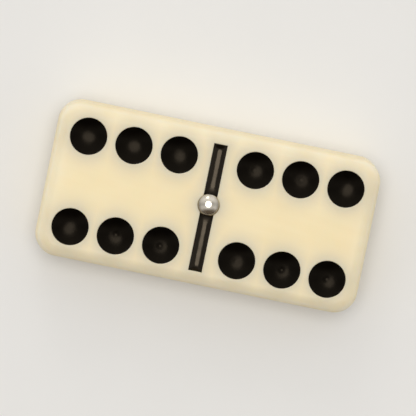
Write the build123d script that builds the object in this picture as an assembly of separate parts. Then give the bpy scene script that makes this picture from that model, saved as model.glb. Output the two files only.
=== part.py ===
from build123d import *
import math
import os

# A double-six domino tile that lies face up: a moulded resin block with twelve
# enamelled pips, an enamelled divider across its middle, and a metal spinner pin
# driven into the divider. Millimetres, +Z out of the marked face, +X along the
# tile, and the origin at the middle of the underside.

# The block
tile_length = 53.0
tile_width = 25.4
tile_thickness = 10.0
corner_radius = 3.75  # the four corners, seen from above
edge_radius = 2.0  # all round the marked face and the underside
rim_round = 0.12  # the polished edge of every pip and of the divider

# The pips, six on each half in two rows of three
pip_diameter = 6.0
pip_pitch = 7.45  # along a row
row_spacing = 2 * pip_pitch  # between the two rows
pip_start = 6.25  # from the middle of the tile to the nearest pips
pips_in_row = 3
pip_lip = 0.3  # the upright wall at the pip's rim
pip_depth = 1.25

# The divider
divider_width = 2.2
divider_length = row_spacing + pip_diameter  # its ends are level with the pips' outer edges
divider_lip = 0.28
divider_depth = 0.8

# The enamel that coats the pips and the divider
enamel_drop = 0.15  # from the marked face down to the enamel's edge
enamel_thickness = 0.22  # at the middle of a pip and along the middle of the divider

# The spinner pin
pin_offset_y = 0.5  # it was driven in a little off the tile's centre
head_diameter = 3.6
head_height = 1.0
head_land = 0.15  # the upright edge under the dome
shank_diameter = 2.4  # wider than the divider, so that the head seats on the face
shank_length = 6.0
shank_tip = 0.4  # the chamfer at the shank's end
ring_count = 4
ring_pitch = 1.1
ring_depth = 0.12
hole_spare = 0.3  # below the tip of the shank
drill_point = 118.0  # the angle of the hole's cone, in degrees

above = 1.0  # how far a cutter reaches past the marked face


def turned(outline):
    """The solid that a closed outline sweeps round the Z axis, drawn as radius and height."""
    return revolve(Plane.XZ * make_face(outline), Axis.Z)


def bowl_recess():
    """The cutter of one pip: a short upright wall over a round bowl."""
    radius = pip_diameter / 2
    bowl = TangentArc((0, -pip_depth), (radius, -pip_lip), tangent=(1, 0))
    sides = Polyline((radius, -pip_lip), (radius, above), (0, above), (0, -pip_depth))
    return turned(bowl + sides)


def bowl_enamel():
    """The coat in one pip: it fills the bowl's wall and is dished in the middle."""
    radius = pip_diameter / 2
    skin = -pip_depth + enamel_thickness
    under = TangentArc((0, -pip_depth), (radius, -pip_lip), tangent=(1, 0))
    edge = Line((radius, -pip_lip), (radius, -enamel_drop))
    top = TangentArc((0, skin), (radius, -enamel_drop), tangent=(1, 0))
    middle = Line((0, skin), (0, -pip_depth))
    return turned(under + edge + top + middle)


def along_divider(outline):
    """The bar that an outline across the divider makes over the divider's length."""
    section = Plane.XZ * make_face(outline)
    return extrude(section, divider_length / 2, both=True)


def divider_recess():
    """The cutter of the divider: a round-bottomed groove with square ends."""
    half = divider_width / 2
    floor = ThreePointArc((-half, -divider_lip), (0, -divider_depth), (half, -divider_lip))
    sides = Polyline((half, -divider_lip), (half, above), (-half, above), (-half, -divider_lip))
    return along_divider(floor + sides)


def divider_enamel():
    """The coat along the whole groove, before the pin's hole parts it in two."""
    half = divider_width / 2
    skin = -divider_depth + enamel_thickness
    floor = ThreePointArc((-half, -divider_lip), (0, -divider_depth), (half, -divider_lip))
    right = Line((half, -divider_lip), (half, -enamel_drop))
    top = ThreePointArc((half, -enamel_drop), (0, skin), (-half, -enamel_drop))
    left = Line((-half, -enamel_drop), (-half, -divider_lip))
    return along_divider(floor + right + top + left)


def pin_hole():
    """The cutter of the pin's blind hole, with the cone that the drill leaves."""
    radius = shank_diameter / 2
    wall_end = -shank_length - hole_spare
    cone_end = wall_end - radius / math.tan(math.radians(drill_point / 2))
    return turned(
        Polyline((0, cone_end), (radius, wall_end), (radius, above), (0, above), close=True)
    )


def spinner_pin():
    """The pin: a domed head on a ringed shank with a chamfered tip."""
    head = head_diameter / 2
    shank = shank_diameter / 2
    dome = TangentArc((0, head_height), (head, head_land), tangent=(1, 0))
    points = [(head, head_land), (head, 0), (shank, 0)]
    for ring in range(1, ring_count + 1):
        height = -ring * ring_pitch
        points += [(shank, height + ring_depth), (shank - ring_depth, height)]
        points += [(shank, height - ring_depth)]
    points += [(shank, shank_tip - shank_length), (shank - shank_tip, -shank_length)]
    points += [(0, -shank_length), (0, head_height)]
    return turned(dome + Polyline(*points))


def pip_places(side):
    """Where one half's pips stand: outwards along the front row, then the back row."""
    return [
        Pos(side * (pip_start + column * pip_pitch), row * row_spacing / 2, tile_thickness)
        for row in (-1, 1)
        for column in range(pips_in_row)
    ]


def edges_on_face(block, kind):
    """The edges of one kind that lie in the plane of the marked face."""
    return block.edges().filter_by_position(Axis.Z, tile_thickness, tile_thickness).filter_by(kind)


def is_divider_rim(edge):
    """True for the straight edges round the divider, which are short and near the tile's middle."""
    return abs(edge.center().X) < divider_width and edge.length < tile_width


def rounded_block():
    """The plain block, its corners rounded and both of its faces' edges rounded over."""
    block = extrude(RectangleRounded(tile_length, tile_width, corner_radius), tile_thickness)
    faces = block.faces().sort_by(Axis.Z)
    return fillet(faces[0].edges() + faces[-1].edges(), edge_radius)


def tile_body(places, pin_place):
    """The block with its pips, its divider and the pin's hole cut into the marked face."""
    body = rounded_block() - [place * bowl_recess() for place in places]
    pip_rims = edges_on_face(body, GeomType.CIRCLE).filter_by(lambda edge: edge.is_closed)
    body = fillet(pip_rims, rim_round)
    body -= Pos(0, 0, tile_thickness) * divider_recess()
    divider_rims = edges_on_face(body, GeomType.LINE).filter_by(is_divider_rim)
    body = fillet(divider_rims, rim_round)
    return body - pin_place * pin_hole()


def build():
    """Every piece of the tile, by its name."""
    halves = {"left": pip_places(-1), "right": pip_places(1)}
    pin_place = Pos(0, pin_offset_y, tile_thickness)
    pieces = {"tile_body": tile_body(halves["left"] + halves["right"], pin_place)}
    for half, places in halves.items():
        for number, place in enumerate(places, start=1):
            pieces[f"pip_enamel_{half}_{number}"] = place * bowl_enamel()
    bars = Pos(0, 0, tile_thickness) * divider_enamel() - pin_place * pin_hole()
    front, back = bars.solids().sort_by(Axis.Y)
    pieces["divider_enamel_front"] = front
    pieces["divider_enamel_back"] = back
    pieces["spinner_pin"] = pin_place * spinner_pin()
    return pieces


os.makedirs("parts", exist_ok=True)
for name, piece in build().items():
    export_step(piece, f"parts/{name}.step")
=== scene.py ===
"""A double-six domino tile with a spinner pin: its fine meshes, its finishes and a plain studio.

Lengths are in metres, in the frame's own axes: +Z out of the marked face, +X along the tile,
and the origin in the middle of the underside. Every surface is worked out on a grid of two
parameters, and a piece is the closed shell that its grids make when their shared borders are
welded. Depths below the marked face are negative heights, measured from that face.
"""

import logging
import math
from dataclasses import dataclass
from enum import Enum

import bmesh
import bpy
import numpy as np
from mathutils import Matrix, Vector


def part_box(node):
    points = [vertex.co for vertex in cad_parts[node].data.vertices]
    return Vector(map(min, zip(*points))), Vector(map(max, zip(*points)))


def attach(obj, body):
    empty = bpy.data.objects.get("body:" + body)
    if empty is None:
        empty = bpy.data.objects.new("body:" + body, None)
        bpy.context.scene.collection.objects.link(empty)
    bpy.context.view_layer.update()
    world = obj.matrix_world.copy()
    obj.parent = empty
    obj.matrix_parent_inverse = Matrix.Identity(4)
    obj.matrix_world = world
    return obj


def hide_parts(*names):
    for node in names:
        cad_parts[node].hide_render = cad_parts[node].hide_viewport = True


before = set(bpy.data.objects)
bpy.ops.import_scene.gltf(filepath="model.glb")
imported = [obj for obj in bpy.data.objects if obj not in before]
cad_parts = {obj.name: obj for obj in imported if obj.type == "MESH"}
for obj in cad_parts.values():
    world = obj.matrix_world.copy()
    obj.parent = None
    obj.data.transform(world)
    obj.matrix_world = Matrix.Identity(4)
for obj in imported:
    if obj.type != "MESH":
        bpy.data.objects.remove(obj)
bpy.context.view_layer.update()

LOG = logging.getLogger("domino_tile")
MM = 0.001
FULL_TURN = 2 * math.pi
QUADRANTS = ((1, 1), (-1, 1), (-1, -1), (1, -1))  # the signs of x and y in each quarter
PIPS_IN_ROW = 3
PIPS_A_HALF = 2 * PIPS_IN_ROW
WELD_GAP = 1e-7  # points nearer than this are one point
SHARP_ANGLE = math.radians(38)  # an edge that turns more than this stays crisp


class Slot(Enum):
    """The record's material slots."""

    IVORY = "ivory_resin"
    ENAMEL = "black_enamel"
    NICKEL = "nickel_plate"


class Half(Enum):
    """The tile's two halves, by the sign of x."""

    LEFT = -1
    RIGHT = 1


class Bar(Enum):
    """The divider's two bars, by the sign of y."""

    FRONT = -1
    BACK = 1


# ---------------------------------------------------------------------------------------------
# Curves and grids
# ---------------------------------------------------------------------------------------------


def arc_floor(across: np.ndarray, half_width: float, edge: float, middle: float) -> np.ndarray:
    """Heights of a round floor: one circular arc through both edges and the middle.

    With sag = middle - edge, the circle's radius is (half_width^2 + sag^2) / (2 sag).

    Args:
        across: Distances from the middle line.
        half_width: Where the floor ends.
        edge: The floor's depth at its edges.
        middle: The floor's depth at its middle.

    Returns:
        The heights, all negative.
    """
    sag = middle - edge
    radius = (half_width**2 + sag**2) / (2 * sag)
    return radius - middle - np.sqrt(radius**2 - np.square(across))


def rounded_rim(half_width: float, rim: float, steps: int) -> tuple[np.ndarray, np.ndarray]:
    """A recess's rounded rim in section, from the top of its upright wall out to the face.

    It is a quarter circle: the reach is half_width + rim (1 - cos a) and the height is
    rim (sin a - 1), for the angle a from nought to a right angle.

    Args:
        half_width: The recess's half width at its wall.
        rim: The rounding's radius.
        steps: How many straight steps stand for the quarter circle.

    Returns:
        The reaches and the heights.
    """
    angle = np.linspace(0.0, math.pi / 2, steps + 1)
    return half_width + rim * (1 - np.cos(angle)), rim * (np.sin(angle) - 1)


def joined(*runs: np.ndarray) -> np.ndarray:
    """Runs of numbers or points end to end, where each one starts at the last one's end."""
    return np.concatenate([runs[0]] + [run[1:] for run in runs[1:]])


def placed(plan: np.ndarray, height: np.ndarray) -> np.ndarray:
    """A grid of points from plan positions (..., 2) and heights that broadcast over them."""
    level = np.broadcast_to(height, plan.shape[:-1])
    return np.concatenate([plan, level[..., None]], axis=-1)


def between(inner: np.ndarray, outer: np.ndarray, shares: np.ndarray) -> np.ndarray:
    """Rings from one line of points to another: inner + (outer - inner) times each share."""
    return inner + (outer - inner) * shares[:, None, None]


def turned(radii: np.ndarray, heights: np.ndarray, segments: int) -> np.ndarray:
    """A profile carried round the Z axis: (r cos t, r sin t, h) for equal steps of t.

    Args:
        radii: The profile's distances from the axis.
        heights: The profile's heights.
        segments: How many steps make the full turn.

    Returns:
        A grid with one row for each point of the profile. Its last column isn't repeated.
    """
    turn = np.arange(segments) * FULL_TURN / segments
    plan = radii[:, None, None] * np.stack([np.cos(turn), np.sin(turn)], axis=-1)
    return placed(plan, heights[:, None])


# ---------------------------------------------------------------------------------------------
# Shells
# ---------------------------------------------------------------------------------------------


class Shell:
    """Gathers grids of points, welds them along their shared borders and makes one piece."""

    def __init__(self, name: str) -> None:
        """Starts an empty shell.

        Args:
            name: The name of the piece that it will make.
        """
        self.name = name
        self.points: list[np.ndarray] = []
        self.quads: list[np.ndarray] = []
        self.count = 0

    def add(self, grid: np.ndarray, ring: bool = False) -> None:
        """Adds one grid of points.

        Args:
            grid: The points, as (rows, columns, 3).
            ring: True if the last column meets the first one.
        """
        rows, columns = grid.shape[:2]
        number = self.count + np.arange(rows * columns).reshape(rows, columns)
        if ring:
            number = np.concatenate([number, number[:, :1]], axis=1)
        corners = (number[:-1, :-1], number[1:, :-1], number[1:, 1:], number[:-1, 1:])
        self.points.append(grid.reshape(-1, 3))
        self.quads.append(np.stack(corners, axis=-1).reshape(-1, 4))
        self.count += rows * columns

    def welded(self, points: np.ndarray) -> bpy.types.Mesh:
        """The closed mesh, with doubled points merged and every face turned outwards.

        Args:
            points: All the points, in the order in which the grids were added.

        Returns:
            The mesh. A pole's row of points becomes one point.
        """
        mesh = bpy.data.meshes.new(self.name)
        mesh.from_pydata(points.tolist(), [], np.concatenate(self.quads).tolist())
        work = bmesh.new()
        work.from_mesh(mesh)
        bmesh.ops.remove_doubles(work, verts=work.verts, dist=WELD_GAP)
        bmesh.ops.recalc_face_normals(work, faces=work.faces)
        gaps = sum(not edge.is_manifold for edge in work.edges)
        work.to_mesh(mesh)
        work.free()
        if gaps:
            LOG.warning("%s has %d edges that don't join two faces", self.name, gaps)
        return mesh

    def piece(self, origin: tuple[float, float, float], crown: "Crown | None" = None) -> bpy.types.Object:
        """The finished piece, with its place in its mesh.

        Args:
            origin: What is added to every point, from the shell's own zero to the frame's.
            crown: The tile's crown, for a piece that follows the marked face.

        Returns:
            The object, smooth except along its crisp edges.
        """
        points = np.concatenate(self.points) + np.array(origin)
        if crown is not None:
            points = crown.lowered(points)
        mesh = self.welded(points)
        mesh.shade_smooth()
        mesh.set_sharp_from_angle(angle=SHARP_ANGLE)
        made = bpy.data.objects.new(self.name, mesh)
        bpy.context.scene.collection.objects.link(made)
        return made


def point_values(mesh: bpy.types.Mesh, normals: bool) -> np.ndarray:
    """Reads the mesh's points, or the normals at them.

    Args:
        mesh: The mesh.
        normals: True for the normals, False for the points.

    Returns:
        The values, (n, 3).
    """
    values = np.empty(len(mesh.vertices) * 3, np.float32)
    if normals:
        mesh.vertex_normals.foreach_get("vector", values)
    else:
        mesh.vertices.foreach_get("co", values)
    return values.reshape(-1, 3)


def mark(mesh: bpy.types.Mesh, attribute: str, values: np.ndarray) -> None:
    """Writes one number at each point of a mesh, by the name that a finish reads it by."""
    layer = mesh.attributes.new(attribute, "FLOAT", "POINT")
    layer.data.foreach_set("value", values.astype(np.float32))


@dataclass(frozen=True)
class Crown:
    """The slight fall of the polished marked face towards its edges."""

    half_length: float
    half_width: float
    thickness: float
    fall: float = 0.09 * MM
    power: float = 5.0

    def fade(self, heights: np.ndarray) -> np.ndarray:
        """Nought up to the middle of the tile's thickness, and then up to one at the marked face."""
        return np.clip(2 * heights / self.thickness - 1, 0, 1)

    def lowered(self, points: np.ndarray) -> np.ndarray:
        """Points let down by fall (|x / half_length|^power + |y / half_width|^power).

        The fall fades out from the marked face to the middle of the tile's thickness.

        Args:
            points: Points in the frame, (n, 3).

        Returns:
            The same points, lowered.
        """
        along = np.abs(points[:, 0] / self.half_length) ** self.power
        across = np.abs(points[:, 1] / self.half_width) ** self.power
        fall = self.fall * self.fade(points[:, 2]) * (along + across)
        return points - np.array([0, 0, 1]) * fall[:, None]


# ---------------------------------------------------------------------------------------------
# What the frame says
# ---------------------------------------------------------------------------------------------


@dataclass(frozen=True)
class Recess:
    """A round-bottomed recess in section: a rounded rim, a short upright wall and a floor."""

    half_width: float
    depth: float
    lip: float
    rim: float = 0.12 * MM
    rim_steps: int = 6

    def floor(self, across: np.ndarray) -> np.ndarray:
        """The recess's own floor: an arc from the foot of its wall to its full depth."""
        return arc_floor(across, self.half_width, self.lip, self.depth)

    def rounding(self) -> tuple[np.ndarray, np.ndarray]:
        """The rim's reaches and heights, from the wall's top out to the face."""
        return rounded_rim(self.half_width, self.rim, self.rim_steps)


@dataclass(frozen=True)
class Layout:
    """The tile's sizes and places, read from the frame."""

    half_length: float
    half_width: float
    thickness: float
    pip_columns: tuple[float, ...]
    pip_row: float
    pip: Recess
    divider: Recess
    divider_reach: float
    pin_y: float
    head_radius: float
    head_height: float
    pin_length: float
    shank_radius: float = 1.2 * MM

    @classmethod
    def from_frame(cls) -> "Layout":
        """Measures the nodes' boxes.

        Returns:
            The layout. Columns and rows are given for the quarter where x and y are positive.
        """
        low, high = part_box("tile_body")
        pips = [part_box(f"pip_enamel_right_{number}") for number in range(1, PIPS_A_HALF + 1)]
        centres = np.array([(np.array(a) + np.array(b)) / 2 for a, b in pips])
        first_low, first_high = pips[0]
        bar_low, bar_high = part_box("divider_enamel_back")
        pin_low, pin_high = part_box("spinner_pin")
        return cls(
            half_length=(high.x - low.x) / 2,
            half_width=(high.y - low.y) / 2,
            thickness=high.z,
            pip_columns=tuple(float(x) for x in sorted(centres[:PIPS_IN_ROW, 0])),
            pip_row=float(abs(centres[:, 1]).mean()),
            pip=Recess((first_high.x - first_low.x) / 2, high.z - first_low.z, lip=0.30 * MM),
            divider=Recess((bar_high.x - bar_low.x) / 2, high.z - bar_low.z, lip=0.28 * MM),
            divider_reach=bar_high.y,
            pin_y=(pin_low.y + pin_high.y) / 2,
            head_radius=(pin_high.x - pin_low.x) / 2,
            head_height=pin_high.z - high.z,
            pin_length=high.z - pin_low.z,
        )

    def crown(self) -> Crown:
        """The crown of this tile's marked face."""
        return Crown(self.half_length, self.half_width, self.thickness)

    def pip_centre(self, half: Half, number: int) -> tuple[float, float]:
        """Where a pip stands: numbers 1 to 3 go outwards along the front row, 4 to 6 the back."""
        row, column = divmod(number - 1, PIPS_IN_ROW)
        return half.value * self.pip_columns[column], (2 * row - 1) * self.pip_row


# ---------------------------------------------------------------------------------------------
# The resin tile
# ---------------------------------------------------------------------------------------------


@dataclass(frozen=True)
class ResinTile:
    """The moulded block: rounded all round, with twelve pips, the divider and the pin's hole."""

    layout: Layout
    corner_radius: float = 3.75 * MM
    edge_radius: float = 2.0 * MM
    pin_land: float = 0.1 * MM  # the ring of face round the hole, under the pin's head
    hole_spare: float = 0.3 * MM  # below the tip of the pin
    cone_depth: float = 0.72 * MM
    worn_border: float = 2.0 * MM  # how far in from the outline the handling shows
    # painted shade round the recesses: how far it reaches, and how sharply it fades
    recess_shade_reach: float = 1.5 * MM
    recess_shade_power: float = 1.3
    rub_power: int = 12  # a high power keeps the rubbing to the flat faces
    underside_rings: tuple[float, ...] = (1.0, 0.995, 0.96, 0.8, 0.55, 0.28, 0.0)
    side_steps: int = 24  # along one side of a pip's square
    corner_steps: int = 14
    run_steps: int = 18  # along the straight runs beside a rounded corner
    middle_steps: int = 10  # between the pin and the nearest pips, each way
    floor_steps: int = 14  # across the divider
    round_steps: int = 12  # round an outer edge
    upright_steps: int = 6  # up the outer sides
    face_steps: int = 8  # from a pip's rim out to its square
    bowl_steps: int = 12  # from a pip's wall in to its centre
    wall_steps: int = 2  # up the divider's wall
    land_steps: int = 5  # from the divider's rim out to the pips' squares
    patch_steps: int = 6  # from the hole's edge out to the patch's border
    hole_steps: int = 3  # down the hole's wall, and again down its cone
    crowding: float = 1.6  # 1 spaces rings evenly, and more crowds them towards the rim

    @property
    def flat(self) -> tuple[float, float]:
        """The half sizes of the marked face's flat part."""
        return self.layout.half_length - self.edge_radius, self.layout.half_width - self.edge_radius

    @property
    def column_lines(self) -> tuple[float, ...]:
        """The lines between the columns of pips.

        Returns:
            The x of each line, from the one beside the divider out to the flat part's edge.
        """
        columns = self.layout.pip_columns
        half_pitch = (columns[1] - columns[0]) / 2
        return (columns[0] - half_pitch, *(x + half_pitch for x in columns[:-1]), self.flat[0])

    @property
    def row_line(self) -> float:
        """The y of the line between the back row's squares and the middle of the face."""
        return self.layout.pip_row - self.column_lines[1] / 2 + self.column_lines[0] / 2

    @property
    def pin_reach(self) -> float:
        """How far the patch round the pin's hole reaches along the divider."""
        return self.layout.shank_radius + self.pin_land

    def middle_rows(self, bar: Bar) -> np.ndarray:
        """The y values, unsigned, from the pin's patch to the pips' squares on one side."""
        near = bar.value * self.layout.pin_y + self.pin_reach
        return np.linspace(near, self.row_line, self.middle_steps + 1)

    def pin_rows(self) -> np.ndarray:
        """The y values across the patch round the pin's hole."""
        ends = [bar.value * self.middle_rows(bar)[0] for bar in (Bar.FRONT, Bar.BACK)]
        return np.linspace(*ends, self.middle_steps + 1)

    def far_corner(self) -> tuple[np.ndarray, np.ndarray]:
        """The flat part's outline round one corner, and its outward directions.

        A straight run goes up the end, a quarter circle turns the corner, and a straight run
        goes back along the side to the last line between the columns.

        Returns:
            The points and the directions, each (n, 2).
        """
        reach_x, reach_y = self.flat
        radius = self.corner_radius - self.edge_radius
        start_y, stop_x = self.row_line, self.column_lines[-2]
        up = np.linspace([reach_x, start_y], [reach_x, reach_y - radius], self.run_steps + 1)
        angle = np.linspace(0, math.pi / 2, self.corner_steps + 1)
        out = np.stack([np.cos(angle), np.sin(angle)], axis=-1)
        turn = np.array([reach_x - radius, reach_y - radius]) + radius * out
        back = np.linspace([reach_x - radius, reach_y], [stop_x, reach_y], self.run_steps + 1)
        points = joined(up, turn, back)
        steps = self.run_steps
        return points, np.concatenate([out[:1].repeat(steps, 0), out, out[-1:].repeat(steps, 0)])

    def square(self, column: int) -> np.ndarray:
        """The closed border of one pip's square in the quarter where x and y are positive.

        Args:
            column: Nought for the column next to the divider.

        Returns:
            The border's points, (n, 2), going anticlockwise with the start not repeated.
        """
        left, right = self.column_lines[column : column + 2]
        low, high = self.row_line, self.flat[1]
        steps = self.side_steps + 1
        bottom = np.linspace([left, low], [right, low], steps)
        down = np.linspace([left, high], [left, low], steps)
        if right == self.flat[0]:
            far = self.far_corner()[0]
        else:
            far = joined(
                np.linspace([right, low], [right, high], steps),
                np.linspace([right, high], [left, high], steps),
            )
        return joined(bottom, far, down)[:-1]

    def pip_square(self, column: int) -> np.ndarray:
        """The face round one pip and the recess in it, as rings about the pip's centre.

        Each column of the grid is a straight ray. It runs from the square's border in to the
        rim's circle, round the rim, down the wall and along the bowl to the centre.

        Args:
            column: Nought for the column next to the divider.

        Returns:
            The grid, whose last column meets its first one.
        """
        pip = self.layout.pip
        centre = np.array([self.layout.pip_columns[column], self.layout.pip_row])
        border = self.square(column)
        ray = border - centre
        ray /= np.linalg.norm(ray, axis=1, keepdims=True)
        reach, height = (run[::-1] for run in pip.rounding())
        shares = np.linspace(1, 0, self.face_steps + 1) ** self.crowding
        face = between(centre + reach[0] * ray, border, shares)
        inward = np.linspace(pip.half_width, 0, self.bowl_steps + 1)
        radii = np.concatenate([reach[1:], inward])
        heights = np.concatenate([height[1:], pip.floor(inward)])
        bowl = centre + radii[:, None, None] * ray
        return np.concatenate([placed(face, np.array(0.0)), placed(bowl, heights[:, None])])

    def middle_band(self) -> np.ndarray:
        """The plain face between the two rows of pips on the right half.

        Returns:
            The grid, with x along its columns and y along its rows.
        """
        lines = self.column_lines
        runs = [np.linspace(a, b, self.side_steps + 1) for a, b in zip(lines, lines[1:])]
        rows = joined(
            -self.middle_rows(Bar.FRONT)[::-1], self.pin_rows(), self.middle_rows(Bar.BACK)
        )
        plan = np.stack(np.meshgrid(joined(*runs), rows), axis=-1)
        return placed(plan, np.array(0.0))

    def divider_side(self) -> tuple[np.ndarray, np.ndarray, np.ndarray]:
        """One side of the divider in section, from the foot of its wall out to the pips' squares.

        Returns:
            How far each point reaches in x, how far its ring reaches in y at the divider's
            ends, and its height.
        """
        divider = self.layout.divider
        reach, height = divider.rounding()
        wall = np.linspace(-divider.lip, height[0], self.wall_steps + 1)
        land = np.linspace(0, 1, self.land_steps + 1)[1:] ** self.crowding
        out = np.full(self.wall_steps, divider.half_width)
        end = self.layout.divider_reach - divider.half_width
        beside = reach[-1] + (self.column_lines[0] - reach[-1]) * land
        across = np.concatenate([out, reach, beside])
        last = end + reach[-1]
        along = np.concatenate([end + out, end + reach, last + (self.flat[1] - last) * land])
        return across, along, np.concatenate([wall[:-1], height, np.zeros(len(land))])

    def divider_rows(self, bar: Bar, reach: np.ndarray) -> np.ndarray:
        """The rows of points along one end of the divider.

        Args:
            bar: Which end.
            reach: How far each line reaches in y, unsigned.

        Returns:
            The unsigned y of each point, (lines, rows).
        """
        near = np.broadcast_to(self.middle_rows(bar), (len(reach), self.middle_steps + 1))
        shares = np.linspace(0, 1, self.side_steps + 1)[1:]
        far = self.row_line + (reach[:, None] - self.row_line) * shares
        return np.concatenate([near, far], axis=1)

    def floor_columns(self) -> np.ndarray:
        """The x values across the divider's floor."""
        half = self.layout.divider.half_width
        return np.linspace(-half, half, self.floor_steps + 1)

    def add_divider(self, shell: Shell) -> None:
        """Adds the divider's groove: its floor, its sides with their rims, and its two ends.

        Args:
            shell: The tile's shell.
        """
        divider = self.layout.divider
        across, along, height = self.divider_side()
        columns = self.floor_columns()
        floor = divider.floor(columns)
        ends = np.full(len(columns), self.layout.divider_reach)
        top = self.wall_steps
        rise = (height[: top + 1] - height[0]) / (height[top] - height[0])
        wall = floor + (height[top] - floor) * rise[:, None]
        above = np.repeat(height[top + 1 :, None], len(columns), 1)
        for bar in Bar:
            rows = self.divider_rows(bar, ends)
            plan = np.stack([np.broadcast_to(columns[:, None], rows.shape), bar.value * rows], axis=-1)
            shell.add(placed(plan, floor[:, None]))
            rows = self.divider_rows(bar, along)
            for half in Half:
                out = np.broadcast_to(half.value * across[:, None], rows.shape)
                shell.add(placed(np.stack([out, bar.value * rows], axis=-1), height[:, None]))
            widened = columns * (across / divider.half_width)[:, None]
            out = np.broadcast_to(bar.value * along[:, None], widened.shape)
            shell.add(placed(np.stack([widened, out], axis=-1), np.concatenate([wall, above])))

    def add_pin_hole(self, shell: Shell) -> None:
        """Adds the patch round the pin's hole, and the hole itself down to its cone.

        The patch is worked out on the divider's section laid out flat: a point's first
        coordinate is its distance along the section and its second is y. Rings run from the
        hole's edge to the patch's border, and each ring is then laid back on the section.

        Args:
            shell: The tile's shell.
        """
        side_x, _, side_z = self.divider_side()
        columns = self.floor_columns()[1:-1]
        section = np.array(
            [
                np.concatenate([-side_x[::-1], columns, side_x]),
                np.concatenate([side_z[::-1], self.layout.divider.floor(columns), side_z]),
            ]
        )
        run = np.concatenate([[0], np.hypot(*np.diff(section)).cumsum()])
        rows = self.pin_rows()
        border = joined(
            np.stack([run, np.full(len(run), rows[0])], axis=-1),
            np.stack([np.full(len(rows), run[-1]), rows], axis=-1),
            np.stack([run[::-1], np.full(len(run), rows[-1])], axis=-1),
            np.stack([np.full(len(rows), run[0]), rows[::-1]], axis=-1),
        )[:-1]
        centre = np.array([run[-1] / 2, self.layout.pin_y])
        angle = np.arctan2(*(border - centre).T[::-1])
        radius = self.layout.shank_radius
        edge_run = np.interp(radius * np.cos(angle), section[0], run)
        edge = np.stack([edge_run, centre[1] + radius * np.sin(angle)], axis=-1)
        rings = between(edge, border, np.linspace(0, 1, self.patch_steps + 1))
        x, z = (np.interp(rings[..., 0], run, line) for line in section)
        patch = np.stack([x, rings[..., 1], z], axis=-1)
        shell.add(patch, ring=True)
        floor = -self.layout.pin_length - self.hole_spare
        drop = np.linspace(-self.layout.divider.depth, floor, self.hole_steps + 1)
        wall = np.repeat(patch[:1], len(drop) + 1, axis=0)
        wall[1:, :, 2] = drop[:, None]
        shell.add(wall, ring=True)
        tip = np.array([0, self.layout.pin_y, floor - self.cone_depth])
        shell.add(between(wall[-1], tip, np.linspace(0, 1, self.hole_steps + 1)), ring=True)

    def edge_profile(self) -> tuple[np.ndarray, np.ndarray]:
        """The outer edge in section: a quarter circle, the upright side and a quarter circle.

        Returns:
            How far each point stands out from the flat part's outline, and its height.
        """
        angle = np.linspace(0, math.pi / 2, self.round_steps + 1)
        out = self.edge_radius * np.sin(angle)
        fall = self.edge_radius * (np.cos(angle) - 1)
        side = np.linspace(fall[-1], -self.layout.thickness - fall[-1], self.upright_steps + 1)
        outs = joined(out, np.full(len(side), out[-1]), out[::-1])
        return outs, joined(fall, side, -self.layout.thickness - fall[::-1])

    def rim_runs(self) -> list[tuple[np.ndarray, np.ndarray]]:
        """The marked face's outline, in runs that share their ends.

        Returns:
            For each run, its points and the outward directions at them, each (n, 2).
        """
        reach_x, reach_y = self.flat
        corner, corner_out = self.far_corner()
        lines = self.column_lines
        spans = reversed(list(zip(lines, lines[1:-1])))
        inner = joined(*(np.linspace(far, near, self.side_steps + 1) for near, far in spans))
        side = np.stack([inner, np.full(len(inner), reach_y)], axis=-1)
        top = self.floor_columns() * lines[0] / self.layout.divider.half_width
        rows = self.middle_band()[:, 0, 1]
        runs = []
        for signs in QUADRANTS:
            runs.append((corner * signs, corner_out * signs))
            runs.append((side * signs, np.array([[0.0, signs[1]]]).repeat(len(side), 0)))
        for sign in (-1.0, 1.0):
            across = np.stack([top, np.full(len(top), sign * reach_y)], axis=-1)
            runs.append((across, np.array([[0.0, sign]]).repeat(len(top), 0)))
            up = np.stack([np.full(len(rows), sign * reach_x), rows], axis=-1)
            runs.append((up, np.array([[sign, 0.0]]).repeat(len(rows), 0)))
        return runs

    def add_outside(self, shell: Shell) -> None:
        """Adds the rounded edges, the upright sides and the flat underside.

        The edge's profile is carried along the marked face's outline: a point is the outline's
        point plus the outward direction times the profile's reach. The underside is the same
        outline drawn in towards the middle.

        Args:
            shell: The tile's shell.
        """
        out, height = self.edge_profile()
        shares = np.array(self.underside_rings)
        for line, away in self.rim_runs():
            shell.add(placed(line + away * out[:, None, None], height[:, None]))
            shell.add(placed(line * shares[:, None, None], np.array(-self.layout.thickness)))

    def make(self, finish: bpy.types.Material) -> bpy.types.Object:
        """Builds and dresses the block.

        Args:
            finish: The resin's material.

        Returns:
            The piece that stands for the frame's tile body.
        """
        shell = Shell("ivory_tile")
        for signs in QUADRANTS:
            for column in range(PIPS_IN_ROW):
                shell.add(self.pip_square(column) * (*signs, 1), ring=True)
        for half in Half:
            shell.add(self.middle_band() * (half.value, 1, 1))
        self.add_divider(shell)
        self.add_pin_hole(shell)
        self.add_outside(shell)
        tile = shell.piece((0, 0, self.layout.thickness), self.layout.crown())
        self.mark_wear_and_recess_shade(tile.data)
        return dress(tile, finish, "tile_body")

    def rim_gap(self, points: np.ndarray) -> np.ndarray:
        """How far each point lies, in plan, outside the nearest pip, the divider or the pin's head.

        Args:
            points: Points in the frame, (n, 3).

        Returns:
            The gaps, nought for a point inside one of them.
        """
        away = np.abs(points[:, :2])
        across = away[:, :1] - np.array(self.layout.pip_columns)
        pips = np.hypot(across, away[:, 1:] - self.layout.pip_row).min(axis=1)
        pips -= self.layout.pip.half_width
        past = away - np.array([self.layout.divider.half_width, self.layout.divider_reach])
        divider = np.hypot(*np.clip(past, 0, None).T)
        head = np.hypot(points[:, 0], points[:, 1] - self.layout.pin_y) - self.layout.head_radius
        return np.clip(np.min([pips, divider, head], axis=0), 0, None)

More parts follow.
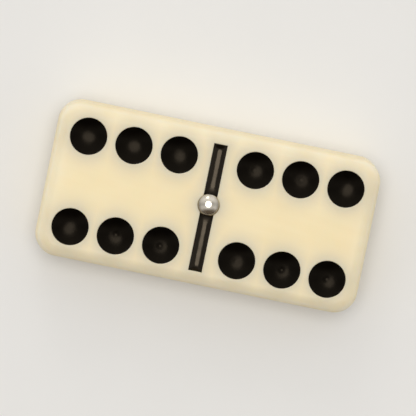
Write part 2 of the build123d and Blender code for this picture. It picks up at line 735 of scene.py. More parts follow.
    def mark_wear_and_recess_shade(self, mesh: bpy.types.Mesh) -> None:
        """Marks the block's worn edges, where it rubs on the table, and painted shade round its recesses.

        Wear is the larger of two numbers. One is nought where the normal lies along an axis and
        one where it is half way between two of them: (1 - the normal's largest part) /
        (1 - cos 45 degrees). The other is exp(-(d / worn_border)^2) times the normal's upright
        part, for the distance d in from the tile's outline. Rubbing is the upright part raised
        to rub_power. The painted shade is exp(-(g / reach)^power), for the gap g to the nearest
        recess, with the shade's own reach and power, on the marked face only: greyer, darker
        colour that stands in for light lost into the black enamel.

        Args:
            mesh: The block's mesh.
        """
        normals = np.abs(point_values(mesh, normals=True))
        points = point_values(mesh, normals=False)
        rounded = (1 - normals.max(axis=1)) / (1 - math.cos(math.pi / 4))
        inward = np.array([self.layout.half_length, self.layout.half_width]) - np.abs(points[:, :2])
        border = np.exp(-np.square(inward.min(axis=1) / self.worn_border)) * normals[:, 2]
        mark(mesh, IvoryResin.wear_attribute, np.clip(np.maximum(rounded, border), 0, 1))
        mark(mesh, IvoryResin.rub_attribute, normals[:, 2] ** self.rub_power)
        # painted shade: greyer, darker colour round each recess, standing in for light lost into the black
        # enamel
        recess_shade = np.exp(-((self.rim_gap(points) / self.recess_shade_reach) ** self.recess_shade_power))
        mark(mesh, IvoryResin.recess_shade_attribute, recess_shade * self.layout.crown().fade(points[:, 2]))


# ---------------------------------------------------------------------------------------------
# The enamel
# ---------------------------------------------------------------------------------------------


@dataclass(frozen=True)
class PipCoat:
    """The enamel in one pip, dished and a little uneven, as a brush and a drill leave it."""

    layout: Layout
    half: Half
    number: int
    edge_depth: float = 0.125 * MM
    middle_depth: float = 1.03 * MM
    climb: float = 0.03 * MM  # how far the wet enamel crept up the wall
    creep: float = 0.16 * MM  # over what distance it did
    dimple_radius: float = 0.42 * MM
    dimple_most: float = 0.11 * MM
    dimple_stray: float = 0.1 * MM  # how far off the centre the dimple tends to be
    twist_least: float = 0.3  # as a share of the most
    twist_most: float = 0.03 * MM
    pooled: float = 0.054  # how steeply the enamel leans, because it ran towards the back
    segments: int = 96
    rings: int = 30
    spacing: float = 0.9  # 1 spaces the rings evenly, and less crowds them towards the wall
    under_rings: int = 12
    wall_steps: int = 3

    @property
    def seed(self) -> int:
        """Where this pip's own unevenness is drawn from: 101 to 106, or 301 to 306."""
        return 100 * (self.half.value + 2) + self.number

    def top(self, x: np.ndarray, y: np.ndarray, chance: np.random.Generator) -> np.ndarray:
        """The enamel's surface: an arc, plus creep at the wall, a dimple, a lean and a twist.

        With r the distance from the centre, the creep is climb exp(-(R - r) / creep), the
        dimple is its depth times exp(-(distance / dimple_radius)^2) about a point near the
        centre, and the lean is -pooled y (1 - (r / R)^2). The twist is a saddle that fades out
        at the wall: 4 size (r / R)^2 (1 - r / R) cos(2 t - turn), for the angle t round the pip.

        Args:
            x: Distances from the pip's centre along X.
            y: Distances from the pip's centre along Y.
            chance: Where this pip's own unevenness is drawn from.

        Returns:
            The heights, below the marked face.
        """
        radius = self.layout.pip.half_width
        r = np.hypot(x, y)
        heights = arc_floor(r, radius, self.edge_depth + self.climb, self.middle_depth)
        heights += self.climb * np.exp((r - radius) / self.creep)
        off_x, off_y = chance.normal(0, self.dimple_stray, 2)
        depth = chance.uniform(0, self.dimple_most)
        heights -= depth * np.exp(-((x - off_x) ** 2 + (y - off_y) ** 2) / self.dimple_radius**2)
        turn = chance.uniform(0, FULL_TURN)
        size = chance.uniform(self.twist_least, 1) * self.twist_most
        saddle = (x**2 - y**2) * math.cos(turn) + 2 * x * y * math.sin(turn)
        inside = np.clip(1 - r / radius, 0, 1)
        heights -= self.pooled * y * np.clip(1 - np.square(r / radius), 0, 1)
        return heights + size * saddle / radius**2 * inside * 4

    def make(self, finish: bpy.types.Material) -> bpy.types.Object:
        """Builds and dresses the coat.

        Args:
            finish: The enamel's material.

        Returns:
            The piece that stands for one pip's enamel.
        """
        pip = self.layout.pip
        chance = np.random.default_rng(self.seed)
        radii = pip.half_width * np.linspace(0, 1, self.rings + 1) ** self.spacing
        top = turned(radii, np.zeros(len(radii)), self.segments)
        top[..., 2] = self.top(top[..., 0], top[..., 1], chance)
        under_radii = np.linspace(pip.half_width, 0, self.under_rings + 1)
        under = turned(under_radii, pip.floor(under_radii), self.segments)
        shell = Shell(f"{self.half.name.lower()}_pip_{self.number}")
        shell.add(top, ring=True)
        shell.add(between(top[-1], under[0], np.linspace(0, 1, self.wall_steps + 1)), ring=True)
        shell.add(under, ring=True)
        place = (*self.layout.pip_centre(self.half, self.number), self.layout.thickness)
        coat = shell.piece(place, self.layout.crown())
        node = f"pip_enamel_{self.half.name.lower()}_{self.number}"
        return dress(coat, finish, node)


@dataclass(frozen=True)
class DividerCoat:
    """The enamel along one half of the divider, from the pin's hole to the square end."""

    layout: Layout
    bar: Bar
    edge_depth: float = 0.125 * MM
    middle_depth: float = 0.56 * MM
    hollow: float = 2.6  # 2 is a plain hollow, and more is flatter along its middle
    heaped: float = 0.34 * MM  # how far the enamel ran up against the back end's wall
    thinned: float = 0.13 * MM  # how far it drew away from the front end's wall
    run_out: float = 0.5 * MM  # over what distance it did
    waver: float = 0.012 * MM
    wave_length: float = 9 * MM
    waves: tuple[int, ...] = (1, 2, 3, 5)  # how many of each wave lie in that length
    seed: int = 7
    build_up: float = 0.75 * MM
    columns: int = 20
    rows: int = 90
    wall_steps: int = 2

    def top(self, x: np.ndarray, left: np.ndarray, chance: np.random.Generator) -> np.ndarray:
        """The enamel's surface: a hollow across the bar that rises or falls at the end wall.

        Across the bar its depth below the edges is depth (1 - |x / half width|^hollow). That
        depth is sag - climb exp(-(left / run_out)^2), where the climb is heaped at the back end
        and -thinned at the front end. Slow sine waves along the bar make it waver, each one
        waver / sqrt(count) high.

        Args:
            x: Distances from the bar's middle line.
            left: Distances to the end wall.
            chance: Where this bar's own unevenness is drawn from.

        Returns:
            The heights, below the marked face.
        """
        sag = self.middle_depth - self.edge_depth
        starts = [chance.uniform(0, FULL_TURN) for _ in self.waves]
        waves = sum(
            math.sqrt(1 / count) * np.sin(left * FULL_TURN * count / self.wave_length + start)
            for count, start in zip(self.waves, starts)
        )
        across = 1 - np.abs(x / self.layout.divider.half_width) ** self.hollow
        climb = self.heaped if self.bar is Bar.BACK else -self.thinned
        along = sag - climb * np.exp(-np.square(left / self.run_out)) + self.waver * waves
        return -self.edge_depth - across * along

    def make(self, finish: bpy.types.Material) -> bpy.types.Object:
        """Builds and dresses the bar.

        Args:
            finish: The enamel's material.

        Returns:
            The piece that stands for one bar of the divider's enamel.
        """
        divider = self.layout.divider
        chance = np.random.default_rng(self.seed + self.bar.value)
        x = np.linspace(-divider.half_width, divider.half_width, self.columns + 1)
        hole = self.bar.value * self.layout.pin_y + np.sqrt(self.layout.shank_radius**2 - x**2)
        share = (1 - np.cos(np.linspace(0, math.pi, self.rows + 1)))[:, None] / 2
        along = hole + (self.layout.divider_reach - hole) * share
        across = np.broadcast_to(x, along.shape)
        plan = np.stack([across, self.bar.value * along], axis=-1)
        top = placed(plan, self.top(across, self.layout.divider_reach - along, chance))
        under = placed(plan, divider.floor(x))
        shell = Shell(f"divider_{self.bar.name.lower()}_bar")
        shell.add(top)
        shell.add(under)
        for border in ((0,), (-1,), (slice(None), 0), (slice(None), -1)):
            shell.add(between(top[border], under[border], np.linspace(0, 1, self.wall_steps + 1)))
        bar = shell.piece((0, 0, self.layout.thickness), self.layout.crown())
        self.mark_build_up(bar.data)
        return dress(bar, finish, f"divider_enamel_{self.bar.name.lower()}")

    def mark_build_up(self, mesh: bpy.types.Mesh) -> None:
        """Marks where the enamel has built up and dried dull by the pin's head.

        The number is exp(-(d / build_up)^2), for the distance d to the head's edge.

        Args:
            mesh: The bar's mesh.
        """
        along = self.bar.value * point_values(mesh, normals=False)[:, 1]
        head = self.bar.value * self.layout.pin_y + self.layout.head_radius
        mark(mesh, BlackEnamel.build_up_attribute, np.exp(-np.square((along - head) / self.build_up)))


# ---------------------------------------------------------------------------------------------
# The spinner pin
# ---------------------------------------------------------------------------------------------


@dataclass(frozen=True)
class SpinnerPin:
    """The turned drive pin: a domed head with a soft edge, and a ringed shank."""

    layout: Layout
    land: float = 0.15 * MM  # the upright edge under the dome
    roundness: float = 2.6  # 2 is a plain dome, and more is flatter on top with rounder shoulders
    edge_soft: float = 0.07 * MM
    seat_soft: float = 0.04 * MM
    tip: float = 0.4 * MM
    ring_pitch: float = 1.1 * MM
    ring_depth: float = 0.12 * MM
    ring_count: int = 4
    rim_shade_from: float = 1.2 * MM  # how far out on the head its painted shade begins
    back_lit_share: float = 0.85  # how much of the painted shade is left off towards the back, where the far light falls
    dome_steps: int = 30
    turn_steps: int = 5  # round the head's soft edge
    segments: int = 112

    def dome(self, r: np.ndarray) -> np.ndarray:
        """The dome's height above the face: land + rise (1 - (r / radius)^roundness)."""
        rise = self.layout.head_height - self.land
        return self.land + rise * (1 - (r / self.layout.head_radius) ** self.roundness)

    def head(self) -> np.ndarray:
        """The head in section, (n, 2) as radius and height, from its top to its seat.

        The dome stops a little short of the edge. A curve through the edge's own corner point,
        with weights (1-t)^2, 2t(1-t) and t^2, brings it round to the upright land.

        Returns:
            The points.
        """
        radius = self.layout.head_radius
        inner = np.linspace(0, radius - self.edge_soft, self.dome_steps + 1)
        dome = np.stack([inner, self.dome(inner)], axis=-1)
        t = np.linspace(0, 1, self.turn_steps + 1)[:, None]
        corner = np.array([radius, self.land])
        below = np.array([radius, self.land - self.edge_soft])
        turn = (1 - t) ** 2 * dome[-1] + 2 * t * (1 - t) * corner + t**2 * below
        seat = np.array([[radius, self.seat_soft], [radius - self.seat_soft, 0.0]])
        return np.concatenate([dome, turn[1:], seat])

    def shank(self) -> np.ndarray:
        """The shank in section: a notch at each ring, and a chamfered tip.

        Returns:
            The points, (n, 2) as radius and height, from the head down to the tip.
        """
        radius, length = self.layout.shank_radius, self.layout.pin_length
        middle = -self.ring_pitch * np.arange(1, self.ring_count + 1)[:, None]
        notch_r = radius + self.ring_depth * np.array([0, -1, 0])
        notch_z = middle + self.ring_depth * np.array([1, 0, -1])
        notches = np.stack([np.broadcast_to(notch_r, notch_z.shape), notch_z], axis=-1).reshape(-1, 2)
        tip = np.array([[radius, self.tip - length], [radius - self.tip, -length], [0.0, -length]])
        return np.concatenate([[[radius, 0.0]], notches, tip])

    def make(self, finish: bpy.types.Material) -> bpy.types.Object:
        """Builds and dresses the pin.

        Args:
            finish: The plated metal's material.

        Returns:
            The piece that stands for the frame's pin.
        """
        profile = np.concatenate([self.head(), self.shank()])
        shell = Shell("turned_pin")
        shell.add(turned(profile[:, 0], profile[:, 1], self.segments), ring=True)
        pin = shell.piece((0, self.layout.pin_y, self.layout.thickness))
        self.mark_rim_shade(pin.data)
        return dress(pin, finish, "spinner_pin")

    def mark_rim_shade(self, mesh: bpy.types.Mesh) -> None:
        """Marks the painted shade on the head, from nought partway out to one at its rim.

        That share grows in a straight line with the distance r from the pin's axis, and is
        scaled by 1 - s b / r, for the distance b towards the back and the share s left off
        there, where the head catches the far light.

        Args:
            mesh: The pin's mesh.
        """
        points = point_values(mesh, normals=False)
        back = points[:, 1] - self.layout.pin_y
        reach = np.maximum(np.hypot(points[:, 0], back), WELD_GAP)
        share = (reach - self.rim_shade_from) / (self.layout.head_radius - self.rim_shade_from)
        left = 1 - self.back_lit_share * np.clip(back / reach, 0, 1)
        mark(mesh, NickelPlate.rim_shade_attribute, np.clip(share, 0, 1) * left)


def dress(piece: bpy.types.Object, finish: bpy.types.Material, node: str) -> bpy.types.Object:
    """Gives a piece its finish, hangs it under the root body and hides the frame's node that it stands for.

    Args:
        piece: The new object.
        finish: Its material.
        node: The frame's node that the piece replaces.

    Returns:
        The same object.
    """
    piece.data.materials.append(finish)
    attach(piece, "root")
    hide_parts(node)
    LOG.info("%s: %d faces for %s", piece.name, len(piece.data.polygons), node)
    return piece


# ---------------------------------------------------------------------------------------------
# Finishes
# ---------------------------------------------------------------------------------------------

Socket = bpy.types.NodeSocket


class Recipe:
    """A material's nodes, added one by one round a single shader."""

    blend_inputs = (6, 7)  # where a colour blend's two colours go in, since their names repeat
    blend_output = 2

    def __init__(self, name: str) -> None:
        """Starts a material with a bare shader and the object's coordinates.

        Args:
            name: The material's name.
        """
        self.material = bpy.data.materials.new(name)
        self.material.use_nodes = True
        self.tree = self.material.node_tree
        self.tree.nodes.clear()
        self.shader = self.tree.nodes.new("ShaderNodeBsdfPrincipled")
        output = self.tree.nodes.new("ShaderNodeOutputMaterial")
        self.tree.links.new(self.shader.outputs["BSDF"], output.inputs["Surface"])
        self.place = self.tree.nodes.new("ShaderNodeTexCoord").outputs["Object"]

    def node(self, kind: str, links: dict[str, Socket], **values: object) -> bpy.types.Node:
        """Adds one node.

        Args:
            kind: The node's type, without its usual prefix.
            links: What feeds each of its sockets, by the socket's name.
            values: Settings of the node, or values of its sockets, with _ for a space.

        Returns:
            The node.
        """
        made = self.tree.nodes.new("ShaderNode" + kind)
        for name, value in values.items():
            if hasattr(made, name):
                setattr(made, name, value)
            else:
                made.inputs[name.replace("_", " ")].default_value = value
        for name, source in links.items():
            self.tree.links.new(source, made.inputs[name])
        return made

    def feed(self, name: str, source: Socket) -> None:
        """Links a pattern to one of the shader's sockets."""
        self.tree.links.new(source, self.shader.inputs[name])

    def fix(self, **values: object) -> None:
        """Sets the shader's own sockets to plain values, with _ for a space."""
        for name, value in values.items():
            self.shader.inputs[name.replace("_", " ")].default_value = value

    def moved(self, turn: float = 0.0, stretch: tuple[float, float, float] = (1, 1, 1)) -> Socket:
        """The object's coordinates turned about Z, in radians, and then stretched."""
        laid = self.node("Mapping", {"Vector": self.place}, Rotation=(0, 0, turn))
        return self.node("Mapping", {"Vector": laid.outputs["Vector"]}, Scale=stretch).outputs["Vector"]

    def noise(self, size: float, detail: float, source: Socket | None = None) -> Socket:
        """Soft noise.

        Args:
            size: How wide its blotches are, in metres.
            detail: How many finer layers lie on them.
            source: The coordinates, or None for the object's own.

        Returns:
            Numbers about one half.
        """
        links = {"Vector": source or self.place}
        return self.node("TexNoise", links, Scale=1 / size, Detail=detail).outputs["Fac"]

    def grain(self, turn: float, sizes: tuple[float, float, float], detail: float) -> Socket:
        """Soft noise drawn out into streaks.

        Args:
            turn: How far the streaks are turned about Z, in radians.
            sizes: How long, wide and deep its blotches are, in metres.
            detail: How many finer layers lie on them.

        Returns:
            Numbers about one half.
        """
        length, width, depth = sizes
        return self.noise(1.0, detail, self.moved(turn, (1 / length, 1 / width, 1 / depth)))

    def marked(self, attribute: str) -> Socket:
        """The numbers that a piece's mesh is marked with by that name."""
        return self.node("Attribute", {}, attribute_name=attribute).outputs["Fac"]

    def ranged(self, source: Socket, low: float, high: float, to_low: float, to_high: float) -> Socket:
        """Numbers from low to high carried over to the span from to_low to to_high."""
        values = {"From_Min": low, "From_Max": high, "To_Min": to_low, "To_Max": to_high}
        return self.node("MapRange", {"Value": source}, **values).outputs["Result"]

    def maths(self, operation: str, first: Socket, second: Socket) -> Socket:
        """Two patterns joined into one.

        Args:
            operation: How, such as ADD or MULTIPLY.
            first: The one pattern.
            second: The other.

        Returns:
            The joined pattern.
        """
        made = self.node("Math", {}, operation=operation)
        self.tree.links.new(first, made.inputs[0])
        self.tree.links.new(second, made.inputs[1])
        return made.outputs["Value"]

    def blend(self, share: Socket, first: tuple | Socket, second: tuple | Socket) -> Socket:
        """A pattern of colour that runs from one colour to another.

        Args:
            share: Nought for the first one and one for the second.
            first: A plain colour or a pattern of colour.
            second: The same.

        Returns:
            The blended pattern.
        """
        made = self.node("Mix", {}, data_type="RGBA")
        self.tree.links.new(share, made.inputs["Factor"])
        for index, colour in zip(self.blend_inputs, (first, second)):
            if isinstance(colour, tuple):
                made.inputs[index].default_value = (*colour, 1)
            else:
                self.tree.links.new(colour, made.inputs[index])
        return made.outputs[self.blend_output]

    def bump(self, height: Socket, distance: float, strength: float, under: Socket | None = None) -> Socket:
        """A normal bent by a pattern.

        Args:
            height: The pattern.
            distance: How high a full step of it stands, in metres.
            strength: How much of the bend is used.
            under: The normal that it bends, if another pattern has bent it already.

        Returns:
            The normal.
        """
        links = {"Height": height}
        if under is not None:
            links["Normal"] = under
        return self.node("Bump", links, Distance=distance, Strength=strength).outputs["Normal"]


@dataclass(frozen=True)
class Blotches:
    """Soft blotches of one size, taken between a low and a high part of their noise."""

    size: float
    detail: float
    low: float = 0.3
    high: float = 0.7

    def spread(self, recipe: Recipe, to_low: float, to_high: float) -> Socket:
        """The blotches as numbers from to_low to to_high."""
        noise = recipe.noise(self.size, self.detail)
        return recipe.ranged(noise, self.low, self.high, to_low, to_high)


@dataclass(frozen=True)
class Relief:
    """How a pattern bends the surface: how high a full step of it stands, and how much is used."""

    distance: float
    strength: float

    def over(self, recipe: Recipe, pattern: Socket, under: Socket | None = None) -> Socket:
        """The normal that the pattern bends, on top of one that another pattern has bent."""
        return recipe.bump(pattern, self.distance, self.strength, under)


@dataclass(frozen=True)
class Scratches:
    """Fine straight scratches of one direction, each a stretched blotch of noise cut thin."""

    turn: float
    length: float
    width: float
    cut: float
    softness: float = 0.04

    def mask(self, recipe: Recipe) -> Socket:
        """Where the scratches are, as numbers from nought to one."""
        lines = recipe.grain(self.turn, (self.length, self.width, self.length), 1.0)
        return recipe.ranged(lines, self.cut, self.cut + self.softness, 0.0, 1.0)


@dataclass(frozen=True)
class IvoryResin:
    """Polished cast resin: warm ivory, faintly clouded and streaked, with handling marks."""

    wear_attribute = "edge_wear"
    rub_attribute = "table_rub"
    # the painted shade round the recesses is marked by this name
    recess_shade_attribute = "recess_painted_shade"
    pale: tuple[float, float, float] = (0.888, 0.757, 0.475)
    deep: tuple[float, float, float] = (0.865, 0.722, 0.43)
    worn: tuple[float, float, float] = (0.868, 0.798, 0.625)
    # painted shade round the recesses: greyer and darker than the body
    recess_shade_colour: tuple[float, float, float] = (0.66, 0.59, 0.432)
    clouds: Blotches = Blotches(9 * MM, 4.0)
    cloudiness: float = 0.75  # how much of the tone the clouds make
    streak_turn: float = 0.12
    streak_sizes: tuple[float, float, float] = (16 * MM, 1.1 * MM, 3 * MM)
    streak_detail: float = 3.0
    streak_noise: tuple[float, float] = (0.35, 0.65)
    streak_tone: tuple[float, float] = (-0.1, 0.25)
    wear_patches: Blotches = Blotches(2.5 * MM, 3.0, low=0.35)
    least_wear: float = 0.6  # in the least worn patches, as a share
    smudges: Blotches = Blotches(6 * MM, 5.0, 0.38, 0.68)
    smooth: float = 0.31
    smudged: float = 0.4
    fine: Blotches = Blotches(0.5 * MM, 2.0)
    fine_step: float = 0.02  # how far the fine blotches move the roughness, either way
    scratches: tuple[Scratches, ...] = (
        Scratches(turn=0.35, length=6 * MM, width=0.045 * MM, cut=0.70),
        Scratches(turn=-0.95, length=4 * MM, width=0.04 * MM, cut=0.71),
        Scratches(turn=1.75, length=7 * MM, width=0.05 * MM, cut=0.715),
    )
    scratched: float = 0.12  # how much rougher a scratch is
    scratch_relief: Relief = Relief(-0.001 * MM, 0.6)
    ripple_size: float = 2.2 * MM
    ripple_relief: Relief = Relief(0.008 * MM, 0.5)
    skin_size: float = 0.2 * MM
    skin_relief: Relief = Relief(0.0005 * MM, 0.5)
    glow_reach: tuple[float, float, float] = (1.0, 0.72, 0.42)  # of red, green and blue light

    def colour(self, recipe: Recipe) -> Socket:
        """The resin's colour: clouds and streaks, then worn edges, then painted shade round the recesses.

        Args:
            recipe: The material's recipe.

        Returns:
            The pattern of colour.
        """
        clouds = self.clouds.spread(recipe, 0.0, self.cloudiness)
        streaks = recipe.grain(self.streak_turn, self.streak_sizes, self.streak_detail)
        streaked = recipe.ranged(streaks, *self.streak_noise, *self.streak_tone)
        body = recipe.blend(recipe.maths("ADD", clouds, streaked), self.deep, self.pale)
        patches = self.wear_patches.spread(recipe, self.least_wear, 1.0)
        wear = recipe.maths("MULTIPLY", recipe.marked(self.wear_attribute), patches)
        handled = recipe.blend(wear, body, self.worn)
        # painted shade round the pips, the divider and the pin's head
        return recipe.blend(recipe.marked(self.recess_shade_attribute), handled, self.recess_shade_colour)

    def scratch_mask(self, recipe: Recipe) -> Socket:
        """Where the resin is scratched, which is only where it rubs on the table.

        Args:
            recipe: The material's recipe.

        Returns:
            Numbers from nought to one.
        """
        first, *others = [scratches.mask(recipe) for scratches in self.scratches]
        for other in others:
            first = recipe.maths("MAXIMUM", first, other)
        return recipe.maths("MULTIPLY", first, recipe.marked(self.rub_attribute))

    def make(self) -> bpy.types.Material:
        """The resin's material: clouds, streaks, worn edges, smudges, scratches and a fine skin.

        Returns:
            The material.
        """
        recipe = Recipe("polished_ivory_resin")
        recipe.feed("Base Color", self.colour(recipe))
        marked = self.scratch_mask(recipe)
        smudges = self.smudges.spread(recipe, self.smooth, self.smudged)
        fine = self.fine.spread(recipe, -self.fine_step, self.fine_step)
        rough = recipe.maths("ADD", smudges, fine)
        rougher = recipe.ranged(marked, 0.0, 1.0, 0.0, self.scratched)
        recipe.feed("Roughness", recipe.maths("ADD", rough, rougher))
        ripple = self.ripple_relief.over(recipe, recipe.noise(self.ripple_size, 1.0))
        skin = self.skin_relief.over(recipe, recipe.noise(self.skin_size, 1.0), ripple)
        recipe.feed("Normal", self.scratch_relief.over(recipe, marked, skin))
        recipe.fix(IOR=1.35, Subsurface_Weight=0.22, Subsurface_Scale=1.1 * MM)
        recipe.fix(Subsurface_Radius=self.glow_reach)
        return recipe.material


@dataclass(frozen=True)
class BlackEnamel:
    """Brushed-in black enamel: semi-gloss, a little warm, with brush marks and orange peel."""

    build_up_attribute = "build_up"
    name: str
    ior: float
    low: float = 0.19
    high: float = 0.265
    thin: tuple[float, float, float] = (0.0016, 0.0012, 0.0008)
    full: tuple[float, float, float] = (0.0007, 0.0005, 0.0004)
    sheen: tuple[float, float, float] = (1.0, 0.82, 0.6)
    tone: Blotches = Blotches(1.3 * MM, 3.0, 0.35, 0.65)
    gloss: Blotches = Blotches(0.8 * MM, 4.0)
    dulled: float = 0.6  # how much rougher built-up enamel is
    brush_turn: float = 0.6
    brush_sizes: tuple[float, float, float] = (3 * MM, 0.16 * MM, 2 * MM)
    brush_relief: Relief = Relief(0.004 * MM, 0.5)
    peel_size: float = 0.35 * MM
    peel_relief: Relief = Relief(0.006 * MM, 0.6)

    def make(self) -> bpy.types.Material:
        """The enamel's material: uneven tone and gloss, brush marks and an orange-peel skin.

        Returns:
            The material.
        """
        recipe = Recipe(self.name)
        tone = self.tone.spread(recipe, 0.0, 1.0)
        recipe.feed("Base Color", recipe.blend(tone, self.full, self.thin))
        gloss = self.gloss.spread(recipe, self.low, self.high)
        duller = recipe.ranged(recipe.marked(self.build_up_attribute), 0.0, 1.0, 0.0, self.dulled)
        recipe.feed("Roughness", recipe.maths("ADD", gloss, duller))
        brushed = recipe.grain(self.brush_turn, self.brush_sizes, 2.0)
        peel = self.peel_relief.over(recipe, recipe.noise(self.peel_size, 2.0))
        recipe.feed("Normal", self.brush_relief.over(recipe, brushed, peel))
        recipe.fix(IOR=self.ior, Specular_Tint=(*self.sheen, 1))
        return recipe.material


@dataclass(frozen=True)
class NickelPlate:
    """Bright nickel on a turned head: fine rings from the lathe, faint tarnish and scratches."""

    # the painted shade on the head's rim is marked by this name
    rim_shade_attribute = "rim_painted_shade"
    centre: tuple[float, float]
    bright: tuple[float, float, float] = (0.76, 0.7, 0.6)
    # painted shade for the head's rim
    dull: tuple[float, float, float] = (0.6, 0.54, 0.44)
    rim_shade_colour: tuple[float, float, float] = (0.2, 0.17, 0.12)
    tarnish: Blotches = Blotches(0.9 * MM, 4.0, 0.4, 0.72)
    most_tarnish: float = 0.8
    gloss: Blotches = Blotches(0.6 * MM, 3.0)
    smooth: float = 0.1
    rough: float = 0.2
    scratches: Scratches = Scratches(turn=0.8, length=1.2 * MM, width=0.025 * MM, cut=0.66)
    scratched: float = 0.06  # how much rougher a scratch is
    scratch_relief: Relief = Relief(-0.002 * MM, 0.5)
    lathe_size: float = 0.5 * MM
    lathe_relief: Relief = Relief(0.0012 * MM, 0.5)

    def make(self) -> bpy.types.Material:
        """The plating's material: tarnish, painted shade at the head's rim, the lathe's rings and
        scratches.

        Returns:
            The material.
        """
        recipe = Recipe("bright_nickel_plate")
        tarnish = self.tarnish.spread(recipe, 0.0, self.most_tarnish)
        plate = recipe.blend(tarnish, self.bright, self.dull)
        # painted shade: the head darker towards its rim, less so towards the back where the far light falls
        rim_shade = recipe.marked(self.rim_shade_attribute)
        recipe.feed("Base Color", recipe.blend(rim_shade, plate, self.rim_shade_colour))
        across, along = self.centre
        centred = recipe.node("Mapping", {"Vector": recipe.place}, Location=(-across, -along, 0))
        lathe = recipe.node(
            "TexWave",
            {"Vector": centred.outputs["Vector"]},
            wave_type="RINGS",
            rings_direction="Z",
            Scale=1 / self.lathe_size,
            Distortion=0.6,
            Detail=1.0,
        )
        marks = self.scratches.mask(recipe)
        gloss = self.gloss.spread(recipe, self.smooth, self.rough)
        rougher = recipe.ranged(marks, 0.0, 1.0, 0.0, self.scratched)
        recipe.feed("Roughness", recipe.maths("ADD", gloss, rougher))
        rings = self.lathe_relief.over(recipe, lathe.outputs["Fac"])
        recipe.feed("Normal", self.scratch_relief.over(recipe, marks, rings))
        recipe.fix(Metallic=1.0)
        return recipe.material


@dataclass(frozen=True)
class PaleFloor:
    """A plain pale floor for the tile to rest on, which isn't part of it."""

    name: str = "floor"
    half_size: float = 3.0
    colour: tuple[float, float, float] = (0.8, 0.79, 0.77)
    clouds: Blotches = Blotches(0.02, 3.0)
    darkest: float = 0.985  # how dark the clouds are, as a share of the colour
    lamp_reach: tuple[float, float] = (0.3, 1.6)  # where the lamps' light begins and ends to fade
    glow: float = 0.34  # what the floor gives off beyond the lamps' reach, to stay as pale

    def make(self) -> bpy.types.Object:
        """Lays the floor at the underside's height.

        Returns:
            The floor.
        """
        side = np.linspace(-self.half_size, self.half_size, 2)
        grid = placed(np.stack(np.meshgrid(side, side), axis=-1), np.array(0.0))
        mesh = bpy.data.meshes.new(self.name)
        mesh.from_pydata(grid.reshape(-1, 3).tolist(), [], [(0, 1, 3, 2)])
        floor = bpy.data.objects.new(self.name, mesh)
        bpy.context.scene.collection.objects.link(floor)
        recipe = Recipe("pale_floor")
        shade = self.clouds.spread(recipe, 0.0, 1.0)
        darker = tuple(self.darkest * part for part in self.colour)
        recipe.feed("Base Color", recipe.blend(shade, self.colour, darker))
        away = recipe.node("VectorMath", {"Vector": recipe.place}, operation="LENGTH").outputs["Value"]
        recipe.feed("Emission Strength", recipe.ranged(away, *self.lamp_reach, 0.0, self.glow))
        recipe.fix(Roughness=0.75, Emission_Color=(*self.colour, 1))
        mesh.materials.append(recipe.material)
        return floor


# ---------------------------------------------------------------------------------------------
# The studio
# ---------------------------------------------------------------------------------------------


@dataclass(frozen=True)
class RoundLamp:
    """A round soft lamp that faces the tile from above."""

    name: str
    tilt: float  # from straight overhead, in degrees
    bearing: float  # the way it leans, in degrees from +X towards +Y
    half_angle: float  # how wide it looks from the tile, in degrees
    radiance: float
    distance: float = 1.3
    colour: tuple[float, float, float] = (1.0, 0.985, 0.96)

    def make(self, target: Vector) -> bpy.types.Object:
        """Hangs the lamp. A disc's power is pi times its area times its radiance.

        Args:
            target: The point that it faces.

        Returns:
            The lamp.
        """
        lean, bearing = math.radians(self.tilt), math.radians(self.bearing)
        away = Vector(
            (math.sin(lean) * math.cos(bearing), math.sin(lean) * math.sin(bearing), math.cos(lean))
        )
        radius = self.distance * math.tan(math.radians(self.half_angle))
        lamp = bpy.data.lights.new(self.name, "AREA")
        lamp.shape = "DISK"
        lamp.size = 2 * radius
        lamp.energy = math.pi * math.pi * radius**2 * self.radiance
        lamp.color = self.colour
        hung = bpy.data.objects.new(self.name, lamp)
        hung.location = target + away * self.distance
        hung.rotation_euler = away.to_track_quat("Z", "Y").to_euler()
        bpy.context.scene.collection.objects.link(hung)
        return hung


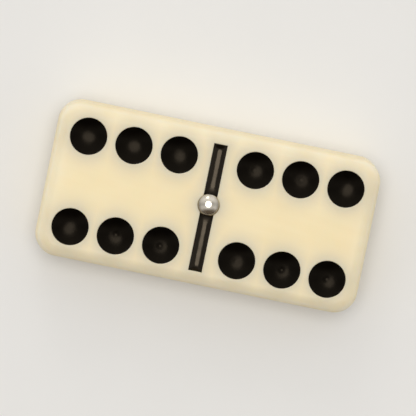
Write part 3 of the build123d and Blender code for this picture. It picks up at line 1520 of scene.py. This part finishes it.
@dataclass(frozen=True)
class Studio:
    """The lamps, the surroundings and the camera."""

    eye: tuple[float, float, float] = (-26 * MM, 62 * MM, 850 * MM)  # from the tile's middle
    tile_turn: float = 11.7  # how far the tile lies turned clockwise in the view, in degrees
    view_width: float = 67 * MM  # how much the view takes in at the tile
    sensor: float = 36.0
    dark_bearing: float = -78.0  # where the surroundings are darkest, in degrees from +X
    dark_height: float = 12.0
    surroundings: tuple[tuple[float, tuple[float, float, float]], ...] = (
        (-0.58, (0.88, 0.88, 0.87)),
        (0.15, (0.5, 0.5, 0.5)),
        (0.45, (0.66, 0.655, 0.65)),
        (0.9, (0.13, 0.105, 0.08)),
    )  # radiance by the cosine of the angle from the darkest direction
    lamps: tuple[RoundLamp, ...] = (
        RoundLamp("overhead_lamp", tilt=5.5, bearing=110.0, half_angle=17.6, radiance=4.2),
        RoundLamp("low_far_lamp", tilt=66.0, bearing=108.0, half_angle=9.5, radiance=2.7),
    )

    def surround(self) -> bpy.types.World:
        """The plain surroundings: pale on the far side, and darker low down on the near side.

        The radiance follows the cosine of the angle between the line of sight and the darkest
        direction, and is blended smoothly between the cosines that are listed.

        Returns:
            The world.
        """
        world = bpy.data.worlds.new("plain_surroundings")
        world.use_nodes = True
        tree = world.node_tree
        bearing, height = math.radians(self.dark_bearing), math.radians(self.dark_height)
        cosine = tree.nodes.new("ShaderNodeVectorMath")
        cosine.operation = "DOT_PRODUCT"
        cosine.inputs[1].default_value = (
            math.cos(height) * math.cos(bearing),
            math.cos(height) * math.sin(bearing),
            math.sin(height),
        )
        share = tree.nodes.new("ShaderNodeMapRange")
        share.inputs["From Min"].default_value = -1
        blend = tree.nodes.new("ShaderNodeValToRGB")
        blend.color_ramp.interpolation = "EASE"
        stops = blend.color_ramp.elements
        while len(stops) < len(self.surroundings):
            stops.new(0.5)
        for stop, (angle_cosine, radiance) in zip(stops, self.surroundings):
            stop.position = (angle_cosine + 1) / 2
            stop.color = (*radiance, 1)
        sight = tree.nodes.new("ShaderNodeTexCoord").outputs["Generated"]
        tree.links.new(sight, cosine.inputs[0])
        tree.links.new(cosine.outputs["Value"], share.inputs["Value"])
        tree.links.new(share.outputs["Result"], blend.inputs["Fac"])
        tree.links.new(blend.outputs["Color"], tree.nodes["Background"].inputs["Color"])
        return world

    def light(self, target: Vector) -> None:
        """Hangs the lamps and sets the surroundings.

        Args:
            target: The point that the lamps face.
        """
        for lamp in self.lamps:
            lamp.make(target)
        bpy.context.scene.world = self.surround()
        bpy.context.scene.view_settings.view_transform = "Standard"

    def shoot(self, target: Vector) -> bpy.types.Object:
        """Sets up the camera, nearly overhead.

        Args:
            target: The point that it looks at.

        Returns:
            The camera.
        """
        lens = bpy.data.cameras.new("camera")
        offset = Vector(self.eye)
        lens.sensor_width = self.sensor
        lens.lens = self.sensor * offset.length / self.view_width
        lens.clip_start = 10 * MM
        camera = bpy.data.objects.new("camera", lens)
        turn = math.radians(self.tile_turn)
        back = offset.normalized()
        right = Vector((-math.sin(turn), math.cos(turn), 0)).cross(back).normalized()
        up = back.cross(right)
        facing = Matrix((right, up, back)).transposed().to_4x4()
        camera.matrix_world = Matrix.Translation(target + offset) @ facing
        bpy.context.scene.collection.objects.link(camera)
        bpy.context.scene.camera = camera
        return camera


def main() -> None:
    """Builds the pieces, the floor and the studio in order."""
    logging.basicConfig(level=logging.INFO, format="%(message)s")
    layout = Layout.from_frame()
    resin = IvoryResin().make()
    pip_enamel = BlackEnamel("black_pip_enamel", ior=1.205).make()
    bar_enamel = BlackEnamel("black_divider_enamel", ior=1.42, low=0.12, high=0.22).make()
    nickel = NickelPlate((0.0, layout.pin_y)).make()
    pieces = [ResinTile(layout).make(resin)]
    for half in Half:
        for number in range(1, PIPS_A_HALF + 1):
            pieces.append(PipCoat(layout, half, number).make(pip_enamel))
    pieces += [DividerCoat(layout, bar).make(bar_enamel) for bar in Bar]
    pieces.append(SpinnerPin(layout).make(nickel))
    PaleFloor().make()
    target = Vector((0, 0, layout.thickness))
    studio = Studio()
    studio.light(target)
    studio.shoot(target)
    LOG.info("%d pieces in place", len(pieces))


if __name__ == "__main__":
    main()
